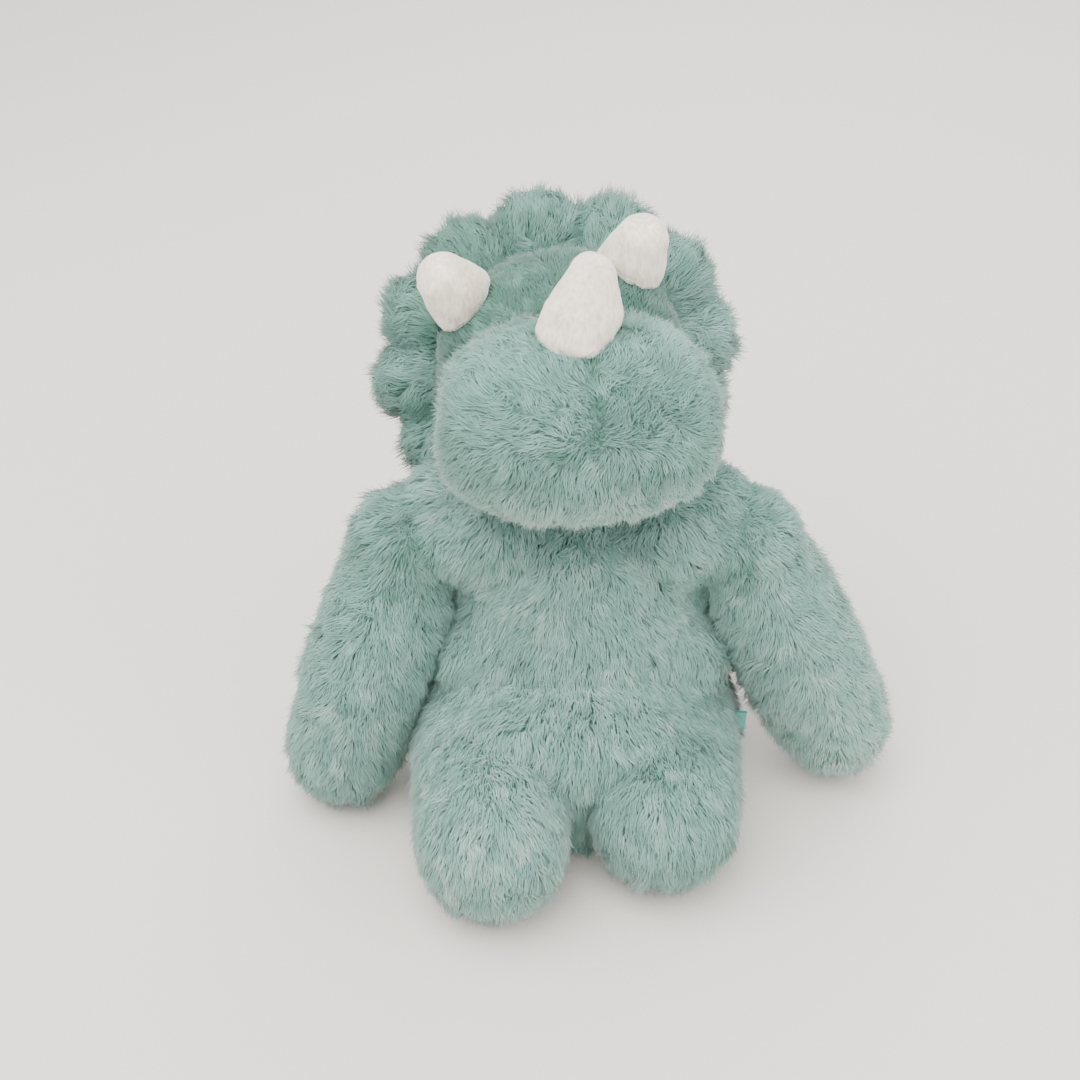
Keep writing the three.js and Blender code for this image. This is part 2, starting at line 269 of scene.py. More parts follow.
def filling_material(name, dark, light, scale):
    material, tree, shader = new_material(name, 0.9, 0.2)
    grain = noise(tree, scale, 5)
    tree.links.new(ramp(tree, [(0.3, dark), (0.7, light)], grain), shader.inputs["Base Color"])
    add_bump(tree, shader, grain, 0.5, 2)
    return material


def ribbon_material():
    material, tree, shader = new_material("satin_ribbon", 0.42, 0.3)
    ribs = noise(tree, 1500, 2, (1, 1, 0.1))
    stops = [(0.3, (0.03, 0.24, 0.20)), (0.7, (0.05, 0.32, 0.27))]
    tree.links.new(ramp(tree, stops, ribs), shader.inputs["Base Color"])
    add_bump(tree, shader, ribs, 0.3, 0.2)
    return material


FUR = fur_material()
BACKING = backing_material()
TRODDEN = trodden_material()
VELVET = velvet_material()
WADDING = filling_material("white_wadding", (0.70, 0.70, 0.68), (0.86, 0.86, 0.84), 220)
PELLETS = filling_material("pellet_cotton", (0.58, 0.55, 0.48), (0.72, 0.69, 0.62), 500)
RIBBON = ribbon_material()


# ---- stuffed forms -----------------------------------------------------------
def evaluated_mesh(piece):
    graph = bpy.context.evaluated_depsgraph_get()
    return bpy.data.meshes.new_from_object(piece.evaluated_get(graph))


def apply_modifiers(piece):
    mesh = evaluated_mesh(piece)
    piece.modifiers.clear()
    piece.data = mesh


def read_points(mesh, field="co"):
    values = np.empty(len(mesh.vertices) * 3, np.float32)
    mesh.vertices.foreach_get(field, values)
    return values.reshape(-1, 3).astype(float)


def write_points(mesh, points):
    mesh.vertices.foreach_set("co", points.astype(np.float32).ravel())
    mesh.update()


def ball_mesh(centre, radius):
    """Points and faces of a ball."""
    around, rings = 24, 12
    points = [(0, 0, radius)]
    for ring in range(1, rings):
        lean = math.pi * ring / rings
        for step in range(around):
            turn = 2 * math.pi * step / around
            flat = radius * math.sin(lean)
            points.append((flat * math.cos(turn), flat * math.sin(turn), radius * math.cos(lean)))
    points.append((0, 0, -radius))
    last = len(points) - 1
    faces = []
    for step in range(around):
        after = (step + 1) % around
        faces.append((0, 1 + step, 1 + after))
        for ring in range(rings - 2):
            upper = 1 + ring * around
            lower = upper + around
            faces.append((upper + step, lower + step, lower + after, upper + after))
        bottom = 1 + (rings - 2) * around
        faces.append((bottom + step, last, bottom + after))
    return np.array(points) + np.array(centre), faces


def joined(nodes, balls=()):
    """The points and faces of some CAD solids and balls, together."""
    points, faces = [], []
    start = 0
    for node in nodes:
        mesh = bpy.data.objects[node].data
        mesh.calc_loop_triangles()
        points.append(read_points(mesh))
        faces += [tuple(start + i for i in triangle.vertices) for triangle in mesh.loop_triangles]
        start += len(mesh.vertices)
    for centre, radius in balls:
        ball_points, ball_faces = ball_mesh(centre, radius * MM)
        points.append(ball_points)
        faces += [tuple(start + i for i in face) for face in ball_faces]
        start += len(ball_points)
    return np.vstack(points), faces


def stuffed_form(name, nodes, balls=(), swell=1.5, voxel=4.0, rounds=6):
    """The cloth round some filling: the filling's solids and any balls, joined and smoothed."""
    points, faces = joined(nodes, balls)
    mesh = bpy.data.meshes.new(name)
    mesh.from_pydata(points.tolist(), [], faces)
    form = bpy.data.objects.new(name, mesh)
    bpy.context.collection.objects.link(form)
    weld = form.modifiers.new("weld", "WELD")
    weld.merge_threshold = 0.02 * MM
    grow = form.modifiers.new("swell", "DISPLACE")
    grow.strength = swell * MM
    grow.mid_level = 0
    remesh = form.modifiers.new("remesh", "REMESH")
    remesh.mode = "VOXEL"
    remesh.voxel_size = voxel * MM
    smooth = form.modifiers.new("smooth", "SMOOTH")
    smooth.iterations = rounds
    apply_modifiers(form)
    return form


PUFF_FRAMES = 20


def puff(form, pressure, cap):
    """Cloth simulation with pressure inside, so that the form fills out between its seams.
    No point moves further than the cap, in millimetres."""
    scene = bpy.context.scene
    before = read_points(form.data)
    cloth = form.modifiers.new("cloth", "CLOTH")
    cloth.settings.quality = 4
    cloth.settings.mass = 0.2
    cloth.settings.use_pressure = True
    cloth.settings.uniform_pressure_force = pressure
    cloth.settings.effector_weights.gravity = 0
    cloth.point_cache.frame_start = 1
    cloth.point_cache.frame_end = PUFF_FRAMES
    for step in range(1, PUFF_FRAMES + 1):
        scene.frame_set(step)
    after = read_points(evaluated_mesh(form))
    form.modifiers.clear()
    scene.frame_set(1)
    shift = after - before
    shift -= shift.mean(axis=0)
    far = np.linalg.norm(shift, axis=1, keepdims=True)
    shift *= np.minimum(1, cap * MM / np.maximum(far, 1e-9))
    write_points(form.data, before + shift)


def refine(form):
    division = form.modifiers.new("division", "SUBSURF")
    division.levels = 1
    division.render_levels = 1
    apply_modifiers(form)
    form.data.shade_smooth()


def keep_off_floor(form):
    points = read_points(form.data)
    points[:, 2] = np.maximum(points[:, 2], CLOTH_FLOOR)
    write_points(form.data, points)


def enclose(form, nodes, margin=0.7):
    """Moves the cloth out to where it clears its filling by the margin, in millimetres."""
    points, faces = joined(nodes)
    tree = BVHTree.FromPolygons(points.tolist(), faces)
    cloth = read_points(form.data)
    for i, point in enumerate(cloth):
        place, normal, _, away = tree.find_nearest(point)
        depth = (place - Vector(point)).dot(normal)
        if depth > -margin * MM and away < CLOTH_SEARCH:
            cloth[i] = place + normal * margin * MM
    write_points(form.data, cloth)


def finish_form(form, body, node, material):
    form.data.materials.clear()
    form.data.materials.append(material)
    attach(form, body)
    if node:
        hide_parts(node)


# ---- fur ---------------------------------------------------------------------
LOCKS_A_PIECE = 19000  # an object this size stays under 200,000 triangles
PATCH_SEED = 5  # large soft patches of tone run on from piece to piece
PATCH_WAVE = 60  # mm
MOTTLE_WAVE = 14  # mm
WANDER_WAVE = 28  # mm, of the bends in the way the pile lies

LOCK_REACH = (0.7, 1.1)  # shortest and longest lock, as shares of the pile's length
TUFT_REACH = (0.82, 1.12)  # the same for whole tufts
LOCK_WIDTH = (0.65, 1.3)  # thinnest and thickest lock, as shares of the usual width
BEND = 0.45  # the share of a lock's length at which it bends over
STRAY = 0.13  # how far each lock turns from its neighbours
TUFT_TONE, LOCK_TONE, PATCH_TONE, MOTTLE_TONE = 0.09, 0.025, 0.06, 0.05
TINT_WIDTH = 0.02  # how much of the tint scale one lock spans
ROUNDING = 0.08  # how much of a lock's own roundness shows in its shading

BURIED = 2.5 * MM  # no lock grows deeper than this in a neighbouring form
ROOT_DEPTH = 0.8 * MM  # a lock starts this far under its cloth
STAND_OFF = 1.5 * MM  # and its middle stays this far above it
CREASE_WIDTH = 7 * MM  # the pile is short, and painted darker as shade, this near the surface of a form in creases
CREASE_SHORTER, CREASE_PAINTED_SHADE = 0.35, 0.22

CROTCH = -62 * MM  # the thighs part in front of this Y
DRAPE_FADE = 18 * MM  # behind the crotch, the pile comes to lie over the fold in this length
DRAPE_LOW = 24 * MM  # below this height it stays in the fold
DRAPE_RISE = 20 * MM
DRAPE_MOST = 11 * MM


def waves(points, seed, length):
    """A smooth, wandering vector for each point, about 1 long, that changes over this length."""
    draw = np.random.default_rng(seed)
    total = np.zeros_like(points)
    for octave in range(3):
        step = 2 * math.pi / (length * MM) * (1.7 ** octave)
        for axis in range(3):
            direction = unit(draw.normal(size=3))
            phase = draw.uniform(0, 2 * math.pi)
            total[:, axis] += np.sin(points @ direction * step + phase) / (1.4 ** octave)
    return total * 0.55


def sample_surface(mesh, count, draw, weight=None):
    """Points spread over a mesh, with their normals."""
    mesh.calc_loop_triangles()
    corners = np.empty(len(mesh.loop_triangles) * 3, np.int32)
    mesh.loop_triangles.foreach_get("vertices", corners)
    corners = corners.reshape(-1, 3)
    points = read_points(mesh)
    normals = read_points(mesh, "normal")
    a, b, c = (points[corners[:, i]] for i in range(3))
    areas = np.linalg.norm(np.cross(b - a, c - a), axis=1)
    if weight is not None:
        areas = areas * weight((a + b + c) / 3)
    areas /= areas.sum()
    sums = np.cumsum(areas)
    spread = (np.arange(count) + draw.uniform(0, 1, count)) / count
    chosen = np.minimum(np.searchsorted(sums, spread), len(corners) - 1)
    u = draw.uniform(0, 1, count)
    v = draw.uniform(0, 1, count)
    over = u + v > 1
    u[over], v[over] = 1 - u[over], 1 - v[over]
    w = 1 - u - v
    shares = np.stack([w, u, v], axis=1)[:, :, None]
    place = (points[corners[chosen]] * shares).sum(axis=1)
    normal = unit((normals[corners[chosen]] * shares).sum(axis=1))
    return place, normal


def leaders_of(points, per_clump, draw):
    """For each point, the index of the point that leads its tuft."""
    leaders = draw.choice(len(points), max(1, len(points) // per_clump), replace=False)
    tree = kdtree.KDTree(len(leaders))
    for i in leaders:
        tree.insert(points[i], int(i))
    tree.balance()
    return np.array([tree.find(point)[1] for point in points])


def depth_inside(points, form):
    """How deep each point lies inside a closed form; negative outside."""
    tree = BVHTree.FromObject(form, bpy.context.evaluated_depsgraph_get())
    depth = np.empty(len(points))
    for i, point in enumerate(points):
        place, normal, _, _ = tree.find_nearest(point)
        depth[i] = (place - Vector(point)).dot(normal)
    return depth


def nearness(points, forms):
    """1 where a point lies on the surface of another form, falling to 0 away from it."""
    near = np.zeros(len(points))
    for form in forms:
        near = np.maximum(near, np.exp(-(depth_inside(points, form) / CREASE_WIDTH) ** 2))
    return near


def draped(points, normals, guide):
    """Lifts points that lie in a fold onto a guide surface that runs smoothly across it."""
    tree = BVHTree.FromObject(guide, bpy.context.evaluated_depsgraph_get())
    points, normals = points.copy(), normals.copy()
    for i, point in enumerate(points):
        place, normal, _, _ = tree.find_nearest(point)
        depth = (place - Vector(point)).dot(normal)
        share = min(max((point[1] - CROTCH) / DRAPE_FADE, 0), 1)
        share *= min(max((point[2] - DRAPE_LOW) / DRAPE_RISE, 0), 1)
        if depth > 0 and share > 0:
            points[i] += np.array(normal) * min(depth, DRAPE_MOST) * 0.85 * share
            normals[i] += np.array(normal) * min(depth / (3 * MM), 2) * share
    return points, unit(normals)


def strand_mesh(name, root, middle, tip, normal, side, width, tint):
    """Closed tapered locks: a three-sided root, a three-sided middle and a point."""
    count = len(root)
    across = unit(np.cross(tip - root, normal))
    across = unit(across + 0.6 * side)
    out = unit(np.cross(across, tip - root))
    turns = [math.radians(angle) for angle in (90, 330, 210)]
    rings = []
    facing = []
    for centre, scale in ((root, 0.9), (middle, 1.0)):
        for turn in turns:
            around = across * math.cos(turn) + out * math.sin(turn) * 0.7
            rings.append(centre + around * (width * scale / 2)[:, None])
            facing.append(around)
    rings.append(tip)
    facing.append(out)
    points = np.stack(rings, axis=1).reshape(-1, 3)
    points[:, 2] = np.maximum(points[:, 2], FLOOR)
    shading = np.stack(facing, axis=1) * ROUNDING + normal[:, None, :]
    shading = unit(shading).reshape(-1, 3)
    loops = [[2, 1, 0]]
    for k in range(3):
        after = (k + 1) % 3
        loops += [[k, after, 3 + after], [k, 3 + after, 3 + k], [3 + k, 3 + after, 6]]
    corners = (np.array(loops)[None] + 7 * np.arange(count)[:, None, None]).reshape(-1)
    mesh = bpy.data.meshes.new(name)
    mesh.vertices.add(7 * count)
    mesh.vertices.foreach_set("co", points.astype(np.float32).ravel())
    mesh.loops.add(len(corners))
    mesh.loops.foreach_set("vertex_index", corners.astype(np.int32))
    mesh.polygons.add(len(corners) // 3)
    mesh.polygons.foreach_set("loop_start", np.arange(0, len(corners), 3, dtype=np.int32))
    mesh.update(calc_edges=True)
    mesh.shade_smooth()
    layer = mesh.uv_layers.new(name=FUR_UV)
    u = np.clip(tint, 0, 1)[:, None] * (1 - TINT_WIDTH)
    u = u + TINT_WIDTH * np.array([0, 0.5, 1, 0, 0.5, 1, 0.5])[None]
    v = np.tile(np.array([0, 0, 0, 0.5, 0.5, 0.5, 1.0]), (count, 1))
    uv = np.stack([u, v], axis=2).reshape(-1, 2)[corners]
    layer.data.foreach_set("uv", uv.astype(np.float32).ravel())
    mesh.normals_split_custom_set_from_vertices(shading.tolist())
    return mesh


def grow_fur(name, form, body, length, flow, seed, density=1.45, lift=0.6, lay=0.9,
             width=0.58, clumping=0.26, per_clump=34, unruly=0.26, wander=0.42, tone=0.5,
             keep=None, long_at=None, tone_at=None, avoid=(), creases=(), drape=None):
    """Long pile on a form. The length and width are in millimetres, and density is locks for
    each square millimetre of cloth. flow gives the way the pile is brushed at each point, keep
    says where any grows, and long_at and tone_at vary its length and its tone. None grows inside
    the forms to avoid, and it is short, with painted shade darkening it, where the form meets
    those in creases."""
    draw = np.random.default_rng(seed)
    area = sum(face.area for face in form.data.polygons) / MM ** 2
    root, normal = sample_surface(form.data, int(area * density), draw)
    if keep is not None:
        kept = keep(root, normal)
        root, normal = root[kept], normal[kept]
    for other in avoid:
        kept = depth_inside(root, other) < BURIED
        root, normal = root[kept], normal[kept]
    if drape is not None:
        root, normal = draped(root, normal, drape)
    count = len(root)
    leader = leaders_of(root, per_clump, draw)
    brushed = flow(root, normal) + wander * waves(root, seed + 1, WANDER_WAVE)
    brushed -= normal * (brushed * normal).sum(axis=1, keepdims=True)
    strength = np.minimum(np.linalg.norm(brushed, axis=1, keepdims=True), 1)
    brushed = unit(brushed) * strength
    tuft_turn = draw.normal(size=(count, 3))[leader] * unruly
    stray = draw.normal(size=(count, 3)) * STRAY
    reach = length * MM * draw.uniform(*LOCK_REACH, count)
    reach = reach * draw.uniform(*TUFT_REACH, count)[leader]
    if long_at is not None:
        reach = reach * long_at(root, normal)
    crease = nearness(root, creases)
    reach = reach * (1 - CREASE_SHORTER * crease)
    first = unit(normal * (lift + 0.3) + brushed * lay * 0.6 + tuft_turn * 0.5 + stray)
    second = unit(normal * lift * 0.4 + brushed * lay + tuft_turn + stray * 1.5)
    middle = root + first * reach[:, None] * BEND
    tip = middle + second * reach[:, None] * (1 - BEND)
    pull = clumping * draw.uniform(0.5, 1.15, count)[:, None]
    tip += (tip[leader] - tip) * pull
    middle += (middle[leader] - middle) * pull * 0.3
    sunk = np.minimum(((middle - root) * normal).sum(axis=1) - STAND_OFF, 0)
    middle -= normal * sunk[:, None]
    tuft_tone = draw.normal(size=count)[leader]
    patch = waves(root, PATCH_SEED, PATCH_WAVE)[:, 0]
    mottle = waves(root, seed + 2, MOTTLE_WAVE)[:, 0]
    tint = tone + TUFT_TONE * tuft_tone + LOCK_TONE * draw.normal(size=count)
    tint = tint + PATCH_TONE * patch + MOTTLE_TONE * mottle
    if tone_at is not None:
        tint = tint + tone_at(root, normal)
    # painted shade: the pile is darkened where it meets another form in a crease
    tint = tint - CREASE_PAINTED_SHADE * crease
    wide = width * MM * draw.uniform(*LOCK_WIDTH, count)
    side = unit(draw.normal(size=(count, 3)))
    order = np.argsort(root[:, 1], kind="stable")
    pieces = max(1, math.ceil(count / LOCKS_A_PIECE))
    for i, chosen in enumerate(np.array_split(order, pieces)):
        title = name if pieces == 1 else f"{name}_{i + 1}"
        mesh = strand_mesh(
            title, root[chosen] - normal[chosen] * ROOT_DEPTH, middle[chosen], tip[chosen],
            normal[chosen], side[chosen], wide[chosen], tint[chosen],
        )
        mesh.materials.append(FUR)
        piece = bpy.data.objects.new(title, mesh)
        bpy.context.collection.objects.link(piece)
        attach(piece, body)


# ---- where the limbs are -----------------------------------------------------
class Limb:
    """A stuffed stump: the centre of its root, the way it points, and its reach. The radius of
    its end and of the ball of cloth at its root are in millimetres."""

    def __init__(self, name, joint, nodes, radius, ball):
        self.name = name
        self.nodes = nodes
        self.ball = ball
        self.root = joint_at(joint)
        points = np.vstack([read_points(bpy.data.objects[node].data) for node in nodes])
        away = points - self.root
        reach = np.linalg.norm(away, axis=1)
        self.tip = points[reach.argmax()]
        self.axis = unit(self.tip - self.root)
        self.radius = radius * MM
        self.length = reach.max() - self.radius

    def along(self, points):
        return (points - self.root) @ self.axis


ARM_LEFT = Limb("arm_left", "arm_left_swing", ["arm_left_stuffing"], 29, 25)
ARM_RIGHT = Limb("arm_right", "arm_right_swing", ["arm_right_stuffing"], 29, 25)
LEG_LEFT = Limb("leg_left", "leg_left_swing", ["leg_left_stuffing", "leg_left_pellet_bag"], 34, 36)
LEG_RIGHT = Limb(
    "leg_right", "leg_right_swing", ["leg_right_stuffing", "leg_right_pellet_bag"], 34, 36)
TAIL = Limb("tail", "tail_wag", ["tail_stuffing"], 15, 20)
UNDERSIDE = 2.5 * MM  # the cloth below this height lies on the floor


def off_floor(points, normals):
    return points[:, 2] > UNDERSIDE


# ---- body --------------------------------------------------------------------
BELLY = np.array([0, -38, 58]) * MM  # where the belly sags over the thighs
WAIST = np.array([55, 15, 79]) * MM  # where the left side bulges towards the arm
ARMPIT = np.array([62, 28, 116]) * MM  # under the left arm
YOKE = np.array([66, 27, 159]) * MM  # the top of the left shoulder, beside the neck
BELLY_SIDE = np.array([24, 2, 0]) * MM  # from there to either side of the belly
SHOULDER_PLACE = np.array([0.88, 1, 1.03])  # of the arm joint's place
CHEST_PLACE = np.array([0.55, 1.1, 1.06])  # the same, inward from the shoulder
HIP_BALL, NECK_BALL, BELLY_BALL = 37, 24, 27  # mm, the balls of cloth at these places


def make_torso():
    balls = [
        (LEG_LEFT.root, HIP_BALL), (LEG_RIGHT.root, HIP_BALL), (TAIL.root, 20), (NECK, NECK_BALL),
    ]
    for side in (1, -1):
        mirror = np.array([side, 1, 1])
        shoulder = ARM_LEFT.root * mirror
        balls += [
            (shoulder * SHOULDER_PLACE, 23), (shoulder * CHEST_PLACE, 27),
            (WAIST * mirror, 26), (ARMPIT * mirror, 13), (YOKE * mirror, 22),
            (BELLY + BELLY_SIDE * mirror, BELLY_BALL),
        ]
    balls.append((BELLY, BELLY_BALL))
    filling = ["torso_stuffing", "seat_pellet_bag", "seat_panel"]
    form = stuffed_form("torso_cover", filling, balls, rounds=18)
    puff(form, 3, 4)
    refine(form)
    enclose(form, filling)
    keep_off_floor(form)
    finish_form(form, "torso", "torso_skin", BACKING)
    return form


def torso_front_light(points, normals):
    # painted light: the cloth that faces forward is lighter
    return 0.08 * (normals[:, 1] < 0)


def torso_flow(points, normals):
    down = np.tile([0, 0, -1.0], (len(points), 1))
    outward = np.zeros_like(points)
    outward[:, 0] = np.tanh(points[:, 0] / (25 * MM)) * 0.55
    outward[:, 1] = -1.1 * np.clip((125 * MM - points[:, 2]) / (35 * MM), 0, 1)
    return down + outward


def make_neck():
    form = stuffed_form("neck_cover", ["neck_stuffing"], swell=2, voxel=3)
    puff(form, 2, 1.5)
    refine(form)
    enclose(form, ["neck_stuffing"])
    finish_form(form, "neck", "neck_gusset", BACKING)

    def flow(points, normals):
        return np.tile([0, 0, -1.0], (len(points), 1))

    grow_fur("neck_fur", form, "neck", 10, flow, 21, density=0.6, tone=0.3)


# ---- limbs -------------------------------------------------------------------
def limb_flow(limb, parting, spread):
    """Down the limb, and away from a parting that runs down its front."""
    front = np.array([0, -1.0, 0.15])
    front = unit(front - limb.axis * (front @ limb.axis))
    side = np.cross(limb.axis, front)

    def flow(points, normals):
        offset = (points - limb.root) @ side
        away = np.tanh((offset - parting * MM) / (14 * MM))
        facing = np.clip((normals @ front) * 1.5 + 0.3, 0, 1)
        past = np.clip((limb.along(points) - limb.length) / limb.radius, 0, 1)
        down = np.tile(limb.axis, (len(points), 1))
        outward = side[None] * (away * facing * spread * (1 - past))[:, None]
        return down * 0.85 + outward
    return flow


def leg_flow(limb):
    """Forward along the top of the leg and down over the foot."""
    def flow(points, normals):
        brushed = np.tile([0, -0.9, -0.65], (len(points), 1))
        brushed[:, 0] = np.tanh((points[:, 0] - limb.tip[0]) / (18 * MM)) * 0.32
        return brushed
    return flow


def lit_limb_end(limb):
    """A painted highlight: a limb's end is a little lighter than the rest."""
    def tone(points, normals):
        return 0.14 * np.clip((limb.along(points) - limb.length * 0.55) / limb.radius, 0, 1)
    return tone


def make_limb(limb, body):
    form = stuffed_form(limb.name + "_cover", limb.nodes, [(limb.root, limb.ball)], rounds=8)
    puff(form, 3, 3)
    refine(form)
    enclose(form, limb.nodes)
    keep_off_floor(form)
    finish_form(form, body, limb.name + "_skin", BACKING)
    return form


def make_hips():
    """A guide for the pile, smooth across the folds between belly and thighs. It isn't kept."""
    filling = ["torso_stuffing", "seat_pellet_bag", *LEG_LEFT.nodes, *LEG_RIGHT.nodes]
    aside = np.array([25 * MM, 0, 0])
    balls = [
        (LEG_LEFT.root, HIP_BALL), (LEG_RIGHT.root, HIP_BALL),
        (BELLY, 32), (BELLY + aside, 30), (BELLY - aside, 30),
    ]
    return stuffed_form("hips", filling, balls, swell=3, voxel=5, rounds=45)


# ---- head --------------------------------------------------------------------
def make_crown():
    form = stuffed_form("head_cover", ["head_stuffing"], [(NECK, NECK_BALL)], rounds=8)
    puff(form, 3, 3)
    refine(form)
    enclose(form, ["head_stuffing"])
    finish_form(form, "head", "head_skin", BACKING)
    return form


def crown_flow(points, normals):
    local = to_head(points)
    back = np.zeros_like(local)
    back[:, 0] = np.tanh(local[:, 0] / (20 * MM)) * 0.5 - 0.15
    back[:, 1] = 0.6
    back[:, 2] = 0.5
    return from_head(back)


SNOUT_CENTRE = np.array([1, -54, 49]) * MM  # in the head's frame
WHORLS = np.array([(-20, -9), (35, 3)]) * MM  # across and up from the snout's centre
SEAM = 3 * MM  # across from the snout's centre
SNOUT_LEVEL = np.array(Matrix.Rotation(-HEAD_ROLL, 3, "Y"))  # the snout isn't rolled with the head


def in_snout(points):
    return (to_head(points) - SNOUT_CENTRE) @ SNOUT_LEVEL


def out_of_snout(local):
    return from_head(local @ SNOUT_LEVEL.T + SNOUT_CENTRE) + NECK


def in_seam(local):
    """How near a point is to the seam that runs down from the nose horn."""
    across = np.exp(-((local[:, 0] - SEAM) / (2.5 * MM)) ** 2)
    return across * np.clip(local[:, 2] / (12 * MM) + 0.4, 0, 1) * (local[:, 1] < 0)


def make_snout():
    form = stuffed_form("snout_cover", ["snout_stuffing"], rounds=6)
    puff(form, 3, 3)
    refine(form)
    points = read_points(form.data)
    local = in_snout(points)
    jowl = np.clip((8 * MM - local[:, 2]) / (30 * MM), 0, 1) * 0.09
    local[:, 0] *= 1 + jowl
    points = out_of_snout(local)
    normals = read_points(form.data, "normal")
    write_points(form.data, points - normals * (in_seam(local) * 4 * MM)[:, None])
    enclose(form, ["snout_stuffing"])
    finish_form(form, "head", "snout_skin", BACKING)
    return form


def snout_flow(points, normals):
    """The pile opens out from two whorls and a seam, curls, and falls over the chin."""
    local = in_snout(points)
    brushed = np.zeros_like(local)
    for whorl in WHORLS:
        away = local[:, [0, 2]] - whorl
        far = np.linalg.norm(away, axis=1, keepdims=True)
        brushed[:, [0, 2]] += away / (far + 30 * MM) * 0.9
    below = np.clip(-local[:, 2] / (20 * MM) + 0.3, 0, 1)
    brushed[:, 2] -= 0.7 * below + 0.15
    beside = np.abs(local[:, 0] - SEAM) < 9 * MM
    brushed[:, 0] += np.tanh((local[:, 0] - SEAM) / (2 * MM)) * beside * (local[:, 2] > 0) * 0.6
    brushed[:, 1] = 0.4 * (np.abs(local[:, 0]) > 35 * MM)
    brushed[:, [0, 2]] += 0.6 * waves(points, 47, 22)[:, [0, 2]]
    return from_head(brushed @ SNOUT_LEVEL.T)


def snout_light_and_shade(points, normals):
    local = in_snout(points)
    rim = np.clip((-local[:, 2] - 14 * MM) / (18 * MM), 0, 1)
    top = np.clip((local[:, 2] - 22 * MM) / (20 * MM), 0, 1)
    # painted sheen along the lower rim of the chin, painted shade in the seam's groove, and a little
    # darker towards the top
    return 0.33 * rim - 0.3 * in_seam(local) - 0.05 * top


FRILL_CENTRE = np.array([0, 35, 54]) * MM  # in the head's frame
FRILL_TILT = math.radians(-8)
FRILL_AXES = HEAD_AXES @ np.array(Matrix.Rotation(FRILL_TILT, 3, "X"))
FRILL_LOBES = 9
FRILL_FIRST = math.radians(-30)
FRILL_WIDE = 1.13
FRILL_STEP = (math.pi - 2 * FRILL_FIRST) / (FRILL_LOBES - 1)


def to_frill(points):
    return (points - NECK - HEAD_AXES @ FRILL_CENTRE) @ FRILL_AXES


def lobe_phase(local):
    """0 in the crease between two lobes and 1 in the middle of a lobe."""
    angle = np.arctan2(local[:, 2], local[:, 0] / FRILL_WIDE)
    angle = np.where(angle < -math.pi / 2, angle + 2 * math.pi, angle)
    share = (angle - FRILL_FIRST) / FRILL_STEP
    return np.abs(np.cos(math.pi * share))


def frill_radius(local):
    """How far a point is from the middle of the frill, as if the frill were round."""
    return np.hypot(local[:, 0] / FRILL_WIDE, local[:, 2])


def make_frill():
    form = stuffed_form("frill_cover", ["frill_wadding"], swell=1.2, voxel=3.5, rounds=4)
    points = read_points(form.data)
    local = to_frill(points)
    outer = np.clip((frill_radius(local) - 34 * MM) / (22 * MM), 0, 1)
    local[:, 1] *= 1 + outer * (lobe_phase(local) ** 0.8 * 0.45 - 0.08)
    write_points(form.data, local @ FRILL_AXES.T + NECK + HEAD_AXES @ FRILL_CENTRE)
    puff(form, 3, 3)
    refine(form)
    enclose(form, ["frill_wadding"])
    finish_form(form, "head", "frill_front_panel", BACKING)
    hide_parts("frill_back_panel")
    return form


def frill_flow(points, normals):
    radial = to_frill(points) * np.array([1 / FRILL_WIDE, 0, 1])
    return unit(radial) @ FRILL_AXES.T


def frill_length(points, normals):
    local = to_frill(points)
    rim = np.clip((frill_radius(local) - 40 * MM) / (30 * MM), 0, 1)
    behind = np.clip(local[:, 1] / (10 * MM), 0, 1)
    return (0.6 + 0.3 * rim + 0.3 * lobe_phase(local)) * (1 - 0.3 * behind)


def frill_shade(points, normals):
    local = to_frill(points)
    top = np.clip(local[:, 2] / (60 * MM), 0, 1)
    side = np.tanh(local[:, 0] / (30 * MM))
    # painted shade: darker in the creases between the lobes, on the frill's -X side and towards its
    # top, lighter on its +X side
    return -0.11 * (1 - lobe_phase(local)) + 0.07 * side - 0.2 * top + 0.04


def make_horn(name, swell, stretch, flare, even):
    """A velvet horn. It is made longer by the stretch, and wider towards its tip by the flare;
    its width stays as it is at the share of its length called even."""
    filling = [name + "_stuffing"]
    form = stuffed_form(name + "_cover", filling, swell=swell, voxel=2.2, rounds=3)
    puff(form, 3, 1)
    refine(form)
    points = read_points(form.data)
    centred = points - points.mean(axis=0)
    axis = np.linalg.svd(centred, full_matrices=False)[2][0]
    axis = axis * np.sign(axis[2])
    along = centred @ axis
    share = (along - along.min()) / np.ptp(along)
    across = centred - np.outer(along, axis)
    points += np.outer((along - along.min()) * stretch, axis)
    wider = (np.maximum(share, 0.3) - even) * flare
    write_points(form.data, points + across * wider[:, None])
    smooth = form.modifiers.new("smooth", "SMOOTH")
    smooth.iterations = 10
    apply_modifiers(form)
    enclose(form, filling, 0.6)
    finish_form(form, "head", name + "_skin", VELVET)


# ---- small pieces and carried-over nodes ---------------------------------------
LABEL_TUCK = 4 * MM  # how far the ribbon's ends reach into the side seam
LABEL_STEPS = 6  # round the fold
LABEL_ROWS = 7  # up the ribbon
LABEL_CURL = 1.2 * MM
LABEL_CLOTH = 0.25 * MM


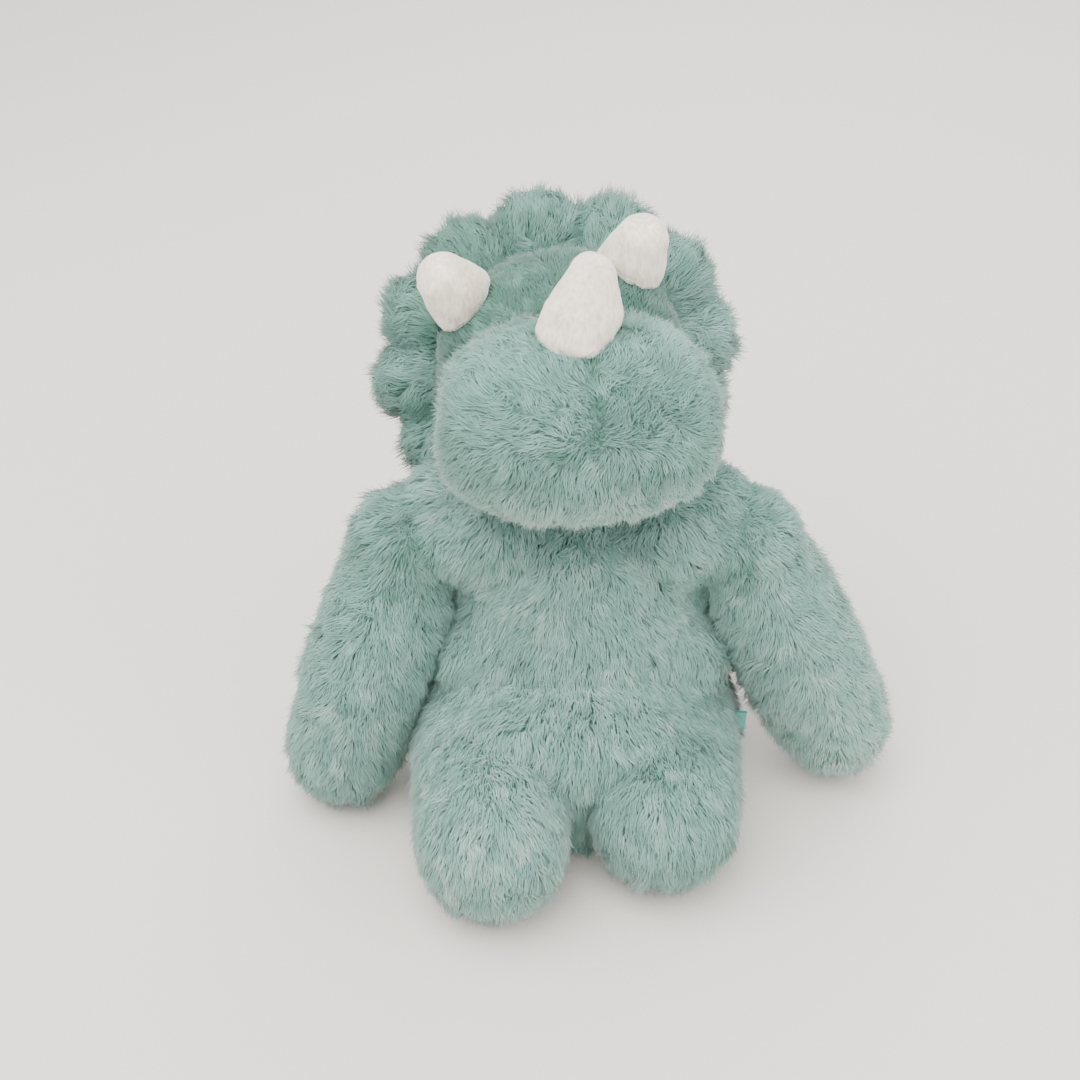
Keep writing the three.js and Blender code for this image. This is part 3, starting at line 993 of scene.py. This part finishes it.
def make_label():
    """A blank ribbon folded double, its two ends caught in the side seam."""
    low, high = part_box("side_label")
    thickness = high.y - low.y
    inner = low.x - LABEL_TUCK
    reach = high.x - inner - thickness / 2
    outline = [(inner, -thickness / 2)]
    for i in range(LABEL_STEPS + 1):
        turn = -math.pi / 2 + math.pi * i / LABEL_STEPS
        outline.append((inner + reach + math.cos(turn) * thickness / 2,
                        math.sin(turn) * thickness / 2))
    outline.append((inner, thickness / 2))
    points, faces = [], []
    middle = (low.y + high.y) / 2
    for row in range(LABEL_ROWS):
        share = row / (LABEL_ROWS - 1)
        z = low.z + (high.z - low.z) * share
        for x, y in outline:
            bend = LABEL_CURL * math.sin(share * math.pi * 1.3) * (x - inner) / reach
            points.append((x, middle + y + bend, z))
    width = len(outline)
    for row in range(LABEL_ROWS - 1):
        for i in range(width - 1):
            a = row * width + i
            faces.append((a, a + 1, a + 1 + width, a + width))
    mesh = bpy.data.meshes.new("side_ribbon")
    mesh.from_pydata(points, [], faces)
    label = bpy.data.objects.new("side_ribbon", mesh)
    bpy.context.collection.objects.link(label)
    thick = label.modifiers.new("thick", "SOLIDIFY")
    thick.thickness = LABEL_CLOTH
    thick.offset = 0
    apply_modifiers(label)
    label.data.shade_smooth()
    label.data.materials.append(RIBBON)
    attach(label, "torso")
    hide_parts("side_label")


def paint_node(node, material):
    mesh = bpy.data.objects[node].data
    mesh.materials.clear()
    mesh.materials.append(material)


def paint_filling():
    for node in frame["nodes"]:
        if node.endswith("_stuffing") or node.endswith("_wadding"):
            paint_node(node, WADDING)
        elif node.endswith("_pellet_bag"):
            paint_node(node, PELLETS)
    paint_node("seat_panel", TRODDEN)


make_camera()
make_floor()
make_light()
paint_filling()
torso = make_torso()
make_neck()
arm_left = make_limb(ARM_LEFT, "arm_left")
arm_right = make_limb(ARM_RIGHT, "arm_right")
leg_left = make_limb(LEG_LEFT, "leg_left")
leg_right = make_limb(LEG_RIGHT, "leg_right")
tail = make_limb(TAIL, "tail")
crown = make_crown()
snout = make_snout()
frill = make_frill()
hips = make_hips()
# the creases paint shade on the torso's pile under the arms and under the chin
grow_fur("torso_fur", torso, "torso", 12, torso_flow, 11, tone=0.57, tone_at=torso_front_light,
         lift=0.55, unruly=0.18, wander=0.36,
         keep=off_floor, avoid=[arm_left, arm_right, leg_left, leg_right, tail, crown],
         creases=[arm_left, arm_right, snout], drape=hips)
for limb, form, seed, parting, spread, tone in (
    (ARM_LEFT, arm_left, 61, -8, 0.5, 0.64), (ARM_RIGHT, arm_right, 71, 8, 0.5, 0.54),
    (TAIL, tail, 101, 0, 0.2, 0.5),
):
    grow_fur(limb.name + "_fur", form, limb.name, 12, limb_flow(limb, parting, spread), seed,
             tone=tone, lift=0.55, unruly=0.2, wander=0.34, tone_at=lit_limb_end(limb),
             keep=off_floor, avoid=[torso], creases=[torso])
for limb, form, seed, tone in ((LEG_LEFT, leg_left, 81, 0.47), (LEG_RIGHT, leg_right, 91, 0.6)):
    grow_fur(limb.name + "_fur", form, limb.name, 12, leg_flow(limb), seed, tone=tone,
             lift=0.5, unruly=0.16, wander=0.28, tone_at=lit_limb_end(limb),
             keep=off_floor, avoid=[torso], drape=hips)
bpy.data.objects.remove(hips)
grow_fur("head_fur", crown, "head", 7, crown_flow, 31, tone=0.03, unruly=0.12, width=0.52,
         avoid=[snout, frill])
grow_fur("snout_fur", snout, "head", 10, snout_flow, 41, tone=0.48, width=0.55, tone_at=snout_light_and_shade,
         lift=0.5, unruly=0.18, avoid=[crown])
grow_fur("frill_fur", frill, "head", 12.5, frill_flow, 51, long_at=frill_length,
         tone_at=frill_shade, tone=0.48, unruly=0.35, avoid=[crown])
for horn, swell, stretch, flare, even in (
    ("nose_horn", 1.2, 0.08, 0.5, 0.5), ("brow_horn_left", 1.3, 0.05, 0.2, 0.8),
    ("brow_horn_right", 1.3, 0.05, 0.2, 0.8),
):
    make_horn(horn, swell, stretch, flare, even)
make_label()
